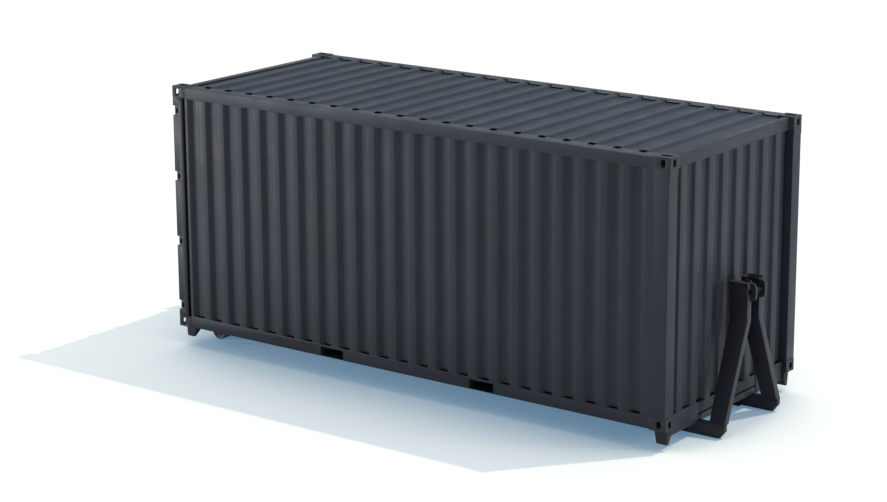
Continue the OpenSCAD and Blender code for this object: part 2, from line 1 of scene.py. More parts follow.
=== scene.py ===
"""Looks of the hooklift container: finishes, formed edges, welds, fasteners and timber.

Lengths are in metres in the CAD's frame: +X toward the hook end, +Y to the left side, +Z up.
"""

import json
import math
import random

import bmesh
import bpy
from mathutils import Matrix, Vector


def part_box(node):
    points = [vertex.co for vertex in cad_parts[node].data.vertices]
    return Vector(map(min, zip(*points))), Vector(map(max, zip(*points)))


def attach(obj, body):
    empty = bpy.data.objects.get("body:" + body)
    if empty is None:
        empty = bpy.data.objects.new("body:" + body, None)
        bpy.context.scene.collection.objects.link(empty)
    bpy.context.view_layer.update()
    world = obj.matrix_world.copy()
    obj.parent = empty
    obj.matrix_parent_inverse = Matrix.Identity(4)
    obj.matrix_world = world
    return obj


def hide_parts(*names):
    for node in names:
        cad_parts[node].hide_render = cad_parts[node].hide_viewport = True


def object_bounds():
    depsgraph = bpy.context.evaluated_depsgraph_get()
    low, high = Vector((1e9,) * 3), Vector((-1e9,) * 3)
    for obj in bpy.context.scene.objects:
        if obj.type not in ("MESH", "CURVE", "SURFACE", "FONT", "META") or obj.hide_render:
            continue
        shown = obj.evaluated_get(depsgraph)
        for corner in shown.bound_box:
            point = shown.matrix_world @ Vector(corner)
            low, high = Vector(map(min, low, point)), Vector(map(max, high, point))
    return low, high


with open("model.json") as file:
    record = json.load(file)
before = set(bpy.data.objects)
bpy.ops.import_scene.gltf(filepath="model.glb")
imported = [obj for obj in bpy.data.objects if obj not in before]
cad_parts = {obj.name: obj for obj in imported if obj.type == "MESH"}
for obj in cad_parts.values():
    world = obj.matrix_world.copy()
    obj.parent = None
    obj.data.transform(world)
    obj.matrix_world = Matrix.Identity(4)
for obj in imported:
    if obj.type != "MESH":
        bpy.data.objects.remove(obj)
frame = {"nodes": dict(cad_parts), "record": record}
NODES = frame["nodes"]
BODY_OF = {n: b for b, ns in frame["record"]["behaviour"]["bodies"].items() for n in ns}
SLOT_OF = {s["node"]: s["material_slot"] for s in frame["record"]["subparts"]}
CAD_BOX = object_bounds()
RANDOM = random.Random(7)
SIDES = {"right": -1, "left": 1}


def srgb(r, g, b, a=1.0):
    """Linear colour of an sRGB colour given as 0 to 255."""
    def lin(c):
        c /= 255
        return c / 12.92 if c <= 0.04045 else ((c + 0.055) / 1.055) ** 2.4
    return (lin(r), lin(g), lin(b), a)


def scaled(color, factor):
    """The colour, darker or paler by a factor."""
    return [c * factor for c in color[:3]] + [1]


# ------------------------------------------------------------------ materials

BOX_GREY = srgb(42, 46, 54)
PRIMER = srgb(94, 98, 105)
BARE_STEEL = srgb(112, 114, 118)
# colour of ledge dusting, bluish as painted sky light on upward faces
LEDGE_DUST_AND_SKY = srgb(112, 119, 130)
# painted highlight on faces toward the truck
FRONT_HIGHLIGHT = srgb(96, 100, 108)
# painted shade on upward ledges
LEDGE_SHADE_BLACK = srgb(9, 10, 13)
# painted shade in corners and under ledges
CORNER_SHADE = srgb(12, 13, 15)
# painted shade in the corners of bare steel
STEEL_CORNER_SHADE = srgb(16, 14, 13)
# painted shade toward the ground: its colour, and the heights where it starts and is full
LOW_SHADE_COLOR = srgb(22, 25, 26)
LOW_SHADE_FROM, LOW_SHADE_FULL = 1.15, 0.45
EDGE_RADIUS = 0.003
CHIP_RADIUS = 0.004
EDGE_STARTS, EDGE_FULL = 0.995, 0.90
PEEL_DEPTH = 0.00012


class Graph:
    """A node material being built: its Principled shader and short forms for the usual nodes."""

    def __init__(self, name):
        self.material = bpy.data.materials.new(name)
        self.material.use_nodes = True
        self.tree = self.material.node_tree
        self.shader = self.tree.nodes["Principled BSDF"]
        self.position = self.node("TexCoord").outputs["Object"]
        self.normal = self.node("NewGeometry").outputs["Normal"]

    def node(self, kind, inputs=None, **settings):
        """New shader node, with its inputs linked or set."""
        n = self.tree.nodes.new("ShaderNode" + kind)
        for key, value in settings.items():
            setattr(n, key, value)
        for key, value in (inputs or {}).items():
            self.put(n.inputs[key], value)
        return n

    def put(self, socket, value):
        """Link another node's output to the socket, or set its value."""
        if isinstance(value, bpy.types.NodeSocket):
            self.tree.links.new(value, socket)
        else:
            socket.default_value = value

    def noise(self, scale, detail, stretch=(1, 1, 1), rough=0.55):
        """Cloud noise from 0 to 1, held by the CAD's own axes."""
        at = self.node("Mapping", {"Vector": self.position, "Scale": stretch})
        return self.node("TexNoise", {"Vector": at.outputs[0], "Scale": scale, "Detail": detail,
                                      "Roughness": rough}).outputs["Fac"]

    def ramp(self, value, low, high, to_low=0.0, to_high=1.0):
        """The value from low to high, spread over another range and held at its ends."""
        return self.node("MapRange", {"Value": value, "From Min": low, "From Max": high,
                                      "To Min": to_low, "To Max": to_high}).outputs[0]

    def math(self, operation, a, b=0.0):
        """One sum, product or other operation on one or two values."""
        return self.node("Math", {0: a, 1: b}, operation=operation).outputs[0]

    def times(self, a, b):
        """Product of two values."""
        return self.math("MULTIPLY", a, b)

    def mix(self, factor, a, b):
        """Colour a where the factor is 0 and colour b where it is 1."""
        return self.node("Mix", {0: factor, 6: a, 7: b}, data_type="RGBA").outputs[2]

    def looks(self, axis):
        """How far a face looks along X, Y or Z, from -1 to 1."""
        return self.node("SeparateXYZ", {0: self.normal}).outputs[axis]

    def crevice(self, distance, samples=4):
        """1 in a corner or under a ledge, 0 in the open."""
        ao = self.node("AmbientOcclusion", {"Distance": distance}, samples=samples)
        return self.math("SUBTRACT", 1.0, ao.outputs["AO"])

    def rounded(self, radius):
        """Normal that shades the edges as if rounded to a radius."""
        return self.node("Bevel", {"Radius": radius}, samples=4).outputs[0]

    def edge(self, radius):
        """1 on an outer or inner edge, 0 on a flat."""
        turn = self.node("VectorMath", {0: self.rounded(radius), 1: self.normal},
                         operation="DOT_PRODUCT")
        return self.ramp(turn.outputs["Value"], EDGE_STARTS, EDGE_FULL)

    def bump(self, height, distance, normal=None):
        """Normal of a bumpy surface whose full height is distance."""
        inputs = {"Height": height, "Distance": distance}
        if normal is not None:
            inputs["Normal"] = normal
        return self.node("Bump", inputs).outputs[0]

    def finish(self, color, roughness, normal):
        """Feed the shader and return the material."""
        self.put(self.shader.inputs["Base Color"], color)
        self.put(self.shader.inputs["Roughness"], roughness)
        self.put(self.shader.inputs["Normal"], normal)
        return self.material


def paint(name, base, worn, roughness, specular=0.35, streak=0.12, wear=0.5, dust_and_sky=0.25, wave=0.0,
          ledge_shade=0.0, front=0.0, low_shade=0.3):
    """Sprayed steel: cloudy colour, vertical rain streaks, a dusting and painted sky light on
    ledges, painted shade in corners and thin paint on edges. wave is the depth in metres of the
    sheet's shallow dents, ledge_shade the share of painted black shade on what looks up, front
    how much paler the faces toward the truck are painted as a highlight, low_shade the share of
    painted shade near the ground."""
    g = Graph(name)
    cloud = g.ramp(g.noise(0.9, 4), 0.3, 0.7)
    rain = g.ramp(g.noise(5.0, 5, (1, 1, 0.07)), 0.35, 0.75)
    color = g.mix(cloud, scaled(base, 0.86), scaled(base, 1.10))
    pale = [min(1.0, c * 1.5 + 0.004) for c in base[:3]] + [1]
    color = g.mix(g.times(rain, streak), color, pale)
    # dust and painted sky light: upward faces paler and bluer in patches
    ledge = g.times(g.ramp(g.looks("Z"), 0.6, 1.0), g.ramp(g.noise(7, 5), 0.35, 0.7))
    color = g.mix(g.times(ledge, dust_and_sky), color, LEDGE_DUST_AND_SKY)
    # painted highlight: faces toward the truck paler
    if front:
        color = g.mix(g.ramp(g.looks("X"), 0.8, 0.95, 0, front), color, FRONT_HIGHLIGHT)
    # painted shade: upward faces darkened toward black
    if ledge_shade:
        color = g.mix(g.ramp(g.looks("Z"), 0.7, 0.9, 0, ledge_shade), color, LEDGE_SHADE_BLACK)
    # painted shade toward the ground
    color = painted_low_shade(g, color, low_shade)
    # painted shade: darker in corners and under ledges
    corner_shade = g.ramp(g.crevice(0.06), 0.45, 0.95)
    color = g.mix(g.times(corner_shade, 0.8), color, CORNER_SHADE)
    chips = g.times(g.edge(CHIP_RADIUS), g.ramp(g.noise(28, 6, rough=0.7), 0.42, 0.62))
    color = g.mix(g.times(chips, wear), color, worn)
    peel = g.bump(g.noise(350, 2), PEEL_DEPTH, g.rounded(EDGE_RADIUS))
    if wave:
        peel = g.bump(g.noise(2.3, 1), wave, peel)
    rough = g.math("ADD", g.ramp(g.noise(3.1, 5), 0.3, 0.7, roughness - 0.06, roughness + 0.08),
                   g.times(ledge, 0.2))
    g.shader.inputs["Specular IOR Level"].default_value = specular
    return g.finish(color, rough, peel)


def painted_low_shade(g, color, share):
    """Painted shade: darker toward the ground, with an uneven edge."""
    height = g.node("SeparateXYZ", {0: g.position}).outputs["Z"]
    reach = g.math("ADD", height, g.times(g.noise(2.5, 4), 0.5))
    low = g.ramp(reach, LOW_SHADE_FROM, LOW_SHADE_FULL)
    return g.mix(g.times(low, share), color, LOW_SHADE_COLOR)


def weathered_steel(name, base, rust, roughness, rust_share):
    """Bare or plated steel with blotches of rust and painted shade in its corners."""
    g = Graph(name)
    blotch = g.ramp(g.noise(9, 6, rough=0.65), 0.62 - 0.3 * rust_share, 0.74 - 0.2 * rust_share)
    fine = g.ramp(g.noise(60, 6, rough=0.7), 0.3, 0.7)
    color = g.mix(g.times(blotch, rust_share), g.mix(fine, scaled(base, 0.75), scaled(base, 1.2)),
                  rust)
    # painted shade: darker in corners
    color = g.mix(g.times(g.ramp(g.crevice(0.05), 0.2, 0.8), 0.7), color, STEEL_CORNER_SHADE)
    normal = g.bump(g.noise(140, 5), 0.0004, g.rounded(EDGE_RADIUS))
    g.shader.inputs["Metallic"].default_value = 0.55
    return g.finish(color, g.ramp(fine, 0, 1, roughness, roughness + 0.2), normal)


def roller_steel(name):
    """Painted roller whose tread has run bare and rusty."""
    g = Graph(name)
    place = g.node("SeparateXYZ", {0: g.position})
    low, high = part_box("roller_right")
    axle = [(a + b) / 2 for a, b in zip(low, high)]
    reach = (high[2] - low[2]) / 2
    from_axle = [g.math("SUBTRACT", place.outputs[k], axle[i]) for k, i in (("X", 0), ("Z", 2))]
    radius = g.math("SQRT", g.math("ADD", *[g.times(d, d) for d in from_axle]))
    tread = g.ramp(g.math("ADD", radius, g.ramp(g.noise(30, 5), 0, 1, -0.004, 0.004)),
                   reach - 0.006, reach - 0.002)
    scuff = g.noise(14, 7, (1, 0.3, 1), 0.7)
    dark, bright = srgb(36, 34, 34), srgb(74, 69, 66)
    painted, rust = srgb(25, 27, 32), srgb(52, 42, 36)
    color = g.mix(tread, painted, g.mix(g.ramp(scuff, 0.35, 0.65), dark, bright))
    color = g.mix(g.ramp(g.noise(9, 6), 0.5, 0.7, 0, 0.6), color, rust)
    g.put(g.shader.inputs["Metallic"], g.ramp(tread, 0, 1, 0, 0.6))
    return g.finish(color, g.ramp(scuff, 0.3, 0.7, 0.38, 0.62),
                    g.bump(g.noise(90, 6), 0.0006, g.rounded(EDGE_RADIUS)))


def rubber(name, dark, pale, specular=0.4):
    """Dull rubber, or the black that stands in for shade, mottled between two colours."""
    g = Graph(name)
    g.shader.inputs["Specular IOR Level"].default_value = specular
    color = g.mix(g.ramp(g.noise(12, 5), 0.35, 0.7), dark, pale)
    return g.finish(color, g.ramp(g.noise(40, 3), 0.3, 0.7, 0.62, 0.8),
                    g.bump(g.noise(260, 3), 0.0002))


def timber(name):
    """Plywood with its grain along X, worn and stained in places."""
    g = Graph(name)
    grain = g.noise(26, 7, (0.12, 1, 1), 0.65)
    rings = g.noise(6, 3, (0.25, 1, 1))
    late, early, ring, stain = [srgb(*c) for c in (
        (86, 60, 40), (158, 118, 80), (112, 82, 56), (60, 50, 42))]
    color = g.mix(g.ramp(grain, 0.35, 0.68), late, early)
    color = g.mix(g.ramp(rings, 0.4, 0.65, 0, 0.5), color, ring)
    color = g.mix(g.ramp(g.noise(3, 6), 0.55, 0.75, 0, 0.5), color, stain)
    return g.finish(color, g.ramp(grain, 0.3, 0.7, 0.55, 0.8), g.bump(grain, 0.0008))


MATERIALS = {
    "box_paint": paint("box_paint", BOX_GREY, PRIMER, 0.5, 0.2, wear=0.35),
    "sheet_paint": paint("sheet_paint", BOX_GREY, PRIMER, 0.5, 0.2, streak=0.2, wave=0.002),
    "header_paint": paint("header_paint", srgb(44, 48, 57), PRIMER, 0.5, 0.2, wear=0.2, dust_and_sky=0),
    # upward faces painted black as shade: rail tops, sill and fork pockets
    "ledge_paint": paint("ledge_paint", BOX_GREY, PRIMER, 0.5, 0.2, dust_and_sky=0, ledge_shade=0.95),
    # paler and bluer than the box paint: painted sky light on the roof
    "roof_paint": paint("roof_paint", srgb(49, 57, 69), PRIMER, 0.62, 0.2, dust_and_sky=0.12, wave=0.003),
    # paler than the box paint: painted light on the top rails' upward strips
    "strip_paint": paint("strip_paint", srgb(49, 56, 63), PRIMER, 0.55, 0.2, dust_and_sky=0.12),
    # front paints a highlight on the frame's faces toward the truck
    "frame_paint": paint("frame_paint", srgb(31, 34, 42), BARE_STEEL, 0.6, 0.15, wear=0.7,
                         front=0.25, low_shade=0.08),
    # near black, darker than the frame paint, so the hook bar shows dark between the cheeks
    "bar_near_black": paint("bar_near_black", srgb(20, 22, 27), BARE_STEEL, 0.7, 0.1, wear=0.3, dust_and_sky=0),
    "fitting_paint": paint("fitting_paint", srgb(44, 47, 54), BARE_STEEL, 0.5, 0.3, wear=0.8),
    "foot_paint": paint("foot_paint", srgb(45, 43, 47), srgb(88, 80, 70), 0.62, 0.2, wear=0.9,
                        dust_and_sky=0.5),
    "roller_steel": roller_steel("roller_steel"),
    # black with no gloss for the pieces that stand in for shade: roof fillers, roof shadow lines,
    # groove beads
    "painted_shade_black": rubber("painted_shade_black", srgb(5, 6, 9), srgb(11, 12, 15), 0.0),
    "worn_steel": weathered_steel("worn_steel", srgb(52, 53, 56), srgb(60, 44, 36), 0.42, 0.3),
    "zinc": weathered_steel("zinc", srgb(104, 106, 110), srgb(92, 70, 54), 0.4, 0.15),
    "weld": paint("weld", srgb(46, 50, 58), PRIMER, 0.55, 0.2, dust_and_sky=0.1, wear=0.3),
    "door_rubber": rubber("door_rubber", srgb(22, 23, 25), srgb(40, 41, 43)),
    "floor_timber": timber("floor_timber"),
}


# ------------------------------------------------------------------ pieces

SAME_CORNER = 2e-5       # corners of triangles closer than this are one corner
FLAT_ANGLE = math.radians(0.4)
BEND_ANGLES = math.radians(20), math.radians(75)
BEND_RADIUS = 0.005


def add_piece(name, mesh, body, material, stands_for=()):
    """Object of a mesh that rides on a body; stands_for names the CAD nodes that it replaces."""
    piece = bpy.data.objects.new(name, mesh)
    bpy.context.scene.collection.objects.link(piece)
    mesh.materials.clear()
    mesh.materials.append(MATERIALS[material])
    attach(piece, body)
    if stands_for:
        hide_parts(*stands_for)
    return piece


def add_trim(name, bm, material, smooth=False):
    """Piece of thin trim on the container's own body."""
    return add_piece(name, mesh_of(name, bm, smooth), "container", material)


def mesh_of(name, bm, smooth=True):
    """The finished mesh of a bmesh, which is freed."""
    bm.normal_update()
    mesh = bpy.data.meshes.new(name)
    bm.to_mesh(mesh)
    bm.free()
    mesh.polygons.foreach_set("use_smooth", [smooth] * len(mesh.polygons))
    return mesh


def clean_copy(node):
    """The node's solid as whole faces instead of triangles."""
    bm = bmesh.new()
    bm.from_mesh(NODES[node].data)
    bmesh.ops.remove_doubles(bm, verts=bm.verts, dist=SAME_CORNER)
    bmesh.ops.dissolve_limit(bm, angle_limit=FLAT_ANGLE, verts=bm.verts, edges=bm.edges)
    return bm


def round_edges(piece, width):
    """Round the piece's sharp edges."""
    bevel = piece.modifiers.new("rounding", "BEVEL")
    bevel.width = width
    bevel.segments = 2
    bevel.limit_method = "ANGLE"
    bevel.angle_limit = math.radians(35)
    bevel.harden_normals = True
    bevel.miter_outer = "MITER_ARC"
    return piece


def softened(node, material, width):
    """A steel member with its edges broken, standing for its CAD node."""
    bm = clean_copy(node)
    bmesh.ops.connect_verts_concave(bm, faces=bm.faces)
    mesh = mesh_of(node + "_solid", bm)
    piece = add_piece(node + "_steel", mesh, BODY_OF[node], material, [node])
    return round_edges(piece, width)


def formed_sheet(node, material, along):
    """A pressed sheet: its bends, which run along the given axis, are rounded."""
    bm = clean_copy(node)
    bends = []
    for e in bm.edges:
        run = (e.verts[1].co - e.verts[0].co).normalized()
        if len(e.link_faces) != 2 or abs(run[along]) < 0.999:
            continue
        if BEND_ANGLES[0] < e.calc_face_angle(0) < BEND_ANGLES[1]:
            bends.append(e)
    bmesh.ops.bevel(bm, geom=bends, offset=BEND_RADIUS, segments=3, profile=0.5,
                    affect="EDGES", clamp_overlap=True)
    mesh = mesh_of(node + "_solid", bm)
    mesh.set_sharp_from_angle(angle=math.radians(25))
    return add_piece(node + "_sheet", mesh, BODY_OF[node], material, [node])


# How far each steel member's edges are rounded
ROUNDED_STEEL = {
    "bottom_rails": 0.0015, "top_rails": 0.0015, "front_posts": 0.004, "rear_posts": 0.0025,
    "front_sill": 0.003, "front_header": 0.003, "rear_sill": 0.003, "rear_header": 0.003,
    "top_castings": 0.003, "bottom_castings": 0.003, "front_gussets": 0.0015,
    "subframe_front_beam": 0.004, "subframe_rails": 0.003, "hook_leg_right": 0.004,
    "hook_leg_left": 0.004, "hook_cheeks": 0.003, "hook_guard": 0.002, "corner_feet": 0.003,
    "hook_bar": 0.002, "fork_pockets": 0.0015, "cross_members": 0.0015, "subframe_ties": 0.0015,
    "roller_brackets": 0.002, "roller_axles": 0.003, "roller_right": 0.003, "roller_left": 0.003,
    "hinge_lugs": 0.0015, "lock_keepers": 0.0015,
    "door_frame_right": 0.003, "door_frame_left": 0.003,
    "door_hinges_right": 0.0015, "door_hinges_left": 0.0015,
    "rod_guides_right": 0.0015, "rod_guides_left": 0.0015,
    "lock_rods_right": 0.0015, "lock_rods_left": 0.0015,
}
# Members whose material isn't the one named like their slot
MEMBER_LOOKS = {
    "corner_feet": "foot_paint", "bottom_rails": "ledge_paint", "front_sill": "ledge_paint",
    "top_rails": "strip_paint", "subframe_rails": "box_paint", "fork_pockets": "ledge_paint",
    "hook_bar": "bar_near_black", "front_header": "header_paint", "roller_right": "roller_steel",
    "roller_left": "roller_steel",
}
# Material of each pressed sheet, and the axis that its bends run along
PRESSED_SHEETS = {
    "side_wall_right": ("sheet_paint", 2), "side_wall_left": ("sheet_paint", 2),
    "front_wall": ("sheet_paint", 2), "door_panel_right": ("sheet_paint", 1),
    "door_panel_left": ("sheet_paint", 1), "roof": ("roof_paint", 1),
}


# ------------------------------------------------------------------ reading the frame

FACES_ALONG = 0.97       # cosine of how far a face may turn from the direction asked for
FAR_BAND = 0.02          # depth of the band that holds the farthest faces
SAME_PLACE = 1e-4


def islands(node):
    """Lowest and highest corner of each separate solid of a node, in order along X, Y and Z."""
    bm = clean_copy(node)
    left, boxes = set(bm.verts), []
    while left:
        stack, group = [left.pop()], []
        while stack:
            v = stack.pop()
            group.append(v.co.copy())
            for e in v.link_edges:
                other = e.other_vert(v)
                if other in left:
                    left.remove(other)
                    stack.append(other)
        boxes.append((Vector([min(c[i] for c in group) for i in range(3)]),
                      Vector([max(c[i] for c in group) for i in range(3)])))
    bm.free()
    return sorted(boxes, key=lambda box: tuple(box[0]))


def face_loops(node, direction):
    """Outlines of the node's faces that look along direction and lie farthest that way."""
    direction = Vector(direction)
    bm = clean_copy(node)
    bm.normal_update()
    faces = [f for f in bm.faces if f.normal.dot(direction) > FACES_ALONG]
    far = max(f.calc_center_median().dot(direction) for f in faces)
    loops = [[v.co.copy() for v in f.verts] for f in faces
             if f.calc_center_median().dot(direction) > far - FAR_BAND]
    bm.free()
    return loops


def sheet_edge(node, run, out, sign, top):
    """Corners of a pressed sheet's outer face along its lower or upper edge. run and out are
    the axes along the wall and out of it, sign the side that is outside."""
    points = [v.co.copy() for v in NODES[node].data.vertices]
    pick = max if top else min
    level = pick(p.z for p in points)
    outer = {}
    for p in points:
        key = round(p[run], 4)
        if abs(p.z - level) > SAME_PLACE:
            continue
        if key not in outer or sign * p[out] > sign * outer[key][out]:
            outer[key] = p
    return [outer[k] for k in sorted(outer)]


# ------------------------------------------------------------------ welds and fasteners

BEAD_STEP = 0.006        # length of one ripple
BEAD_SIDES = 5
RIPPLE_HIGH, RIPPLE_LOW = 1.12, 0.86
RIPPLE_SPREAD = 0.06     # share by which one ripple differs from the next
BEAD_MARGIN = 1.2        # a bead's reach in radii, ripples included
WALL_BEAD, SEAM_BEAD, HOOK_BEAD = 0.0035, 0.0035, 0.0045
FLUSH = 0.001            # depth within which a corner lies on the wall's outer face
BEAD_UP, BEAD_OUT = 0.001, 0.002
OFF_AXIS = Vector((0.31, 0.17, 0.94))


def kept_inside(p, margin):
    """The point, moved so that a bead of that radius round it doesn't leave the CAD box."""
    low, high = CAD_BOX
    return Vector([min(max(p[i], low[i] + margin), high[i] - margin) for i in range(3)])


def tube_rings(bm, centres, radii, sides, closed):
    """Skin over circles set square to the path."""
    count, rings = len(centres), []
    for k, centre in enumerate(centres):
        before = centres[k - 1] if k or closed else centre
        after = centres[(k + 1) % count] if k + 1 < count or closed else centre
        ahead = (after - before).normalized()
        side = ahead.cross(OFF_AXIS).normalized()
        above = side.cross(ahead)
        rings.append([bm.verts.new(centre + radii[k] * (
            math.cos(2 * math.pi * j / sides) * side + math.sin(2 * math.pi * j / sides) * above))
            for j in range(sides)])
    for k in range(count if closed else count - 1):
        a, b = rings[k], rings[(k + 1) % count]
        for j in range(sides):
            bm.faces.new((a[j], b[j], b[(j + 1) % sides], a[(j + 1) % sides]))
    if not closed:
        bm.faces.new(rings[0])
        bm.faces.new(rings[-1][::-1])


def bead(bm, path, radius, closed=False):
    """A weld bead with its ripples along a path of points."""
    corners = list(path) + ([path[0]] if closed else [])
    centres = []
    for a, b in zip(corners, corners[1:]):
        n = max(1, round((b - a).length / BEAD_STEP))
        centres += [a.lerp(b, k / n) for k in range(n)]
    if not closed:
        centres.append(corners[-1])
    if len(centres) < 3:
        return
    centres = [kept_inside(c, radius * BEAD_MARGIN) for c in centres]
    radii = [radius * (RIPPLE_HIGH if k % 2 else RIPPLE_LOW)
             * RANDOM.uniform(1 - RIPPLE_SPREAD, 1 + RIPPLE_SPREAD) for k in range(len(centres))]
    tube_rings(bm, centres, radii, BEAD_SIDES, closed)


def loops_of_beads(name, sources, radius):
    """Beads round the faces named by (node, direction), on the container's body."""
    bm = bmesh.new()
    for node, direction in sources:
        for loop in face_loops(node, direction):
            bead(bm, loop, radius, closed=True)
    add_trim(name, bm, "weld", smooth=True)


def wall_seam(name, node, run, out, sign):
    """Beads where a pressed wall stands on the member below it and meets the one above."""
    bm = bmesh.new()
    for top in (False, True):
        corners = sheet_edge(node, run, out, sign, top)
        flush = max(sign * c[out] for c in corners) - FLUSH
        shift = Vector((0, 0, -BEAD_UP if top else BEAD_UP))
        shift[out] = sign * BEAD_OUT
        part = []
        for a, b in zip(corners, corners[1:]):
            if sign * a[out] > flush and sign * b[out] > flush:
                if len(part) > 1:
                    bead(bm, part, WALL_BEAD)
                part = []
            else:
                part = part or [a + shift]
                part.append(b + shift)
        if len(part) > 1:
            bead(bm, part, WALL_BEAD)
    add_trim(name, bm, "weld", smooth=True)


def turned(bm, at, axis, profile, sides, turn=0.0):
    """Surface of revolution about axis through at; profile is a list of (height, radius)."""
    spin = Vector((0, 0, 1)).rotation_difference(Vector(axis))
    rings = []
    for height, radius in profile:
        rings.append([bm.verts.new(Vector(at) + spin @ Vector((
            radius * math.cos(turn + 2 * math.pi * j / sides),
            radius * math.sin(turn + 2 * math.pi * j / sides), height))) for j in range(sides)])
    for a, b in zip(rings, rings[1:]):
        for j in range(sides):
            bm.faces.new((a[j], a[(j + 1) % sides], b[(j + 1) % sides], b[j]))
    bm.faces.new(rings[0][::-1])
    bm.faces.new(rings[-1])


def bolt(bm, at, axis, size):
    """Washer and chamfered hexagon head, turned at random; nothing is behind the plate."""
    washer = [(0, 0.95), (0.14, 0.95), (0.16, 0.9)]
    head = [(0, 0.62), (0.42, 0.62), (0.5, 0.5)]
    turned(bm, at, axis, [(size * h, size * r) for h, r in washer], 16)
    top = Vector(at) + Vector(axis) * size * washer[-1][0]
    turned(bm, top, axis, [(size * h, size * r) for h, r in head], 6, RANDOM.uniform(0, 1))


def disc_head(bm, at, axis, radius, height):
    """Flat head of a countersunk screw."""
    turned(bm, at, axis, [(0, radius), (height * 0.6, radius * 0.92), (height, radius * 0.5)], 8)


def add_welds():
    """Beads round the walls, the corner joints and the hook frame."""
    for side, sign in SIDES.items():
        wall_seam("wall_seams_" + side, "side_wall_" + side, 0, 1, sign)
    wall_seam("front_wall_seams", "front_wall", 1, 0, 1)
    ends = [(n, (0, s, 0)) for n in ("front_sill", "front_header", "rear_sill", "rear_header")
            for s in (-1, 1)]
    ends += [(n, (s, 0, 0)) for n in ("bottom_rails", "top_rails") for s in (-1, 1)]
    loops_of_beads("corner_seams", ends, SEAM_BEAD)
    loops_of_beads("hook_frame_seams", [
        ("hook_leg_right", (0, 0, -1)), ("hook_leg_left", (0, 0, -1)), ("hook_cheeks", (-1, 0, 0)),
        ("hook_guard", (0, 0, -1)), ("front_gussets", (-1, 0, 0)), ("corner_feet", (0, 0, 1))],
        HOOK_BEAD)


# ------------------------------------------------------------------ trim of the roof and walls

SKIN = 0.001             # how far trim reaches into the solid that carries it
BOX_GAP = 0.0005         # how far trim on top stops short of the CAD box
CLOSURE_OUT, CLOSURE_IN = 0.040, 0.020
CLOSURE_SLOPE, CLOSURE_DROP = 0.003, 0.002
EDGE_FOLD = 0.05         # how far the roof sheet's edge is folded from its side strip
# the black strip along the roof's edge, a painted shadow line: its height, and a thickness shared
# with the fold's top
JOINT_TALL, JOINT_THICK = 0.011, 0.004
PLATE_TALL, PLATE_THICK = 0.078, 0.005
PLATE_INSET, PLATE_CLIP = 0.004, 0.014
# section of the black bead of painted shade at a groove's foot, as (out of the wall, up)
GROOVE_SHADE_SECTION = [(0, 0), (0.009, 0), (0.006, 0.003), (0.003, 0.006), (0, 0.009)]


def prism(bm, section, start, along, across, above, length):
    """Closed section of (across, above) pairs, run from start for a length."""
    start, along, across, above = [Vector(v) for v in (start, along, across, above)]
    ends = [[bm.verts.new(start + along * d + across * a + above * b) for a, b in section]
            for d in (0, length)]
    faces = [bm.faces.new(ends[0][::-1]), bm.faces.new(ends[1])]
    for k in range(len(section)):
        n = (k + 1) % len(section)
        faces.append(bm.faces.new((ends[0][k], ends[0][n], ends[1][n], ends[1][k])))
    bmesh.ops.recalc_face_normals(bm, faces=faces)


def filler(bm, x0, x1, y, sign, z0, z1):
    """Wedge that stands proud of a ridge's end over the edge of the roof's side strip."""
    outer, inner = y + sign * CLOSURE_OUT, y - sign * CLOSURE_IN
    section = [(x0 - CLOSURE_SLOPE, z0 - SKIN), (x1 + CLOSURE_SLOPE, z0 - SKIN), (x1, z1),
               (x0, z1)]
    a = [bm.verts.new((x, outer, z if k < 2 else z - CLOSURE_DROP))
         for k, (x, z) in enumerate(section)]
    b = [bm.verts.new((x, inner, z)) for x, z in section]
    bm.faces.new(a)
    bm.faces.new(b[::-1])
    for k in range(4):
        bm.faces.new((a[k], b[k], b[(k + 1) % 4], a[(k + 1) % 4]))
    bmesh.ops.recalc_face_normals(bm, faces=bm.faces)


def add_roof_shade_fillers():
    """Black fillers in the open ends of the roof's ridges: painted shade where the hollow ends
    show dark.
    """
    low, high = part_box("roof")
    strip_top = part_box("top_rails")[1].z
    corners = [v.co for v in NODES["roof"].data.vertices]
    xs = sorted({round(c.x, 4) for c in corners if c.z > high.z - SAME_PLACE and c.y < 0})
    bm = bmesh.new()
    for x0, x1 in zip(xs[::2], xs[1::2]):
        for sign, y in ((-1, low.y), (1, high.y)):
            filler(bm, x0, x1, y, sign, strip_top, high.z - BOX_GAP)
    round_edges(add_trim("roof_shade_fillers", bm, "painted_shade_black", True), 0.0015)


def add_roof_edges():
    """The roof sheet's edge turned up against each side strip, with a black strip along its top: a
    painted shadow line.
    """
    low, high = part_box("roof")
    strip_low, strip_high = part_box("top_rails")
    sheet_top = sorted({round(v.co.z, 4) for v in NODES["roof"].data.vertices})[1]
    rise = strip_high.z - JOINT_TALL - sheet_top
    joint_top = rise + JOINT_TALL - SKIN
    fold = [(0, 0), (EDGE_FOLD, 0), (JOINT_THICK, rise), (0, rise)]
    joint = [(0, rise), (JOINT_THICK, rise), (JOINT_THICK * 0.6, joint_top), (0, joint_top)]
    folds, joints = bmesh.new(), bmesh.new()
    for sign, y in ((-1, low.y), (1, high.y)):
        for bm, section in ((folds, fold), (joints, joint)):
            prism(bm, section, (strip_low.x, y, sheet_top), (1, 0, 0), (0, -sign, 0), (0, 0, 1),
                  strip_high.x - strip_low.x)
    add_trim("roof_edges", folds, "roof_paint")
    add_trim("roof_shadow_lines", joints, "painted_shade_black")


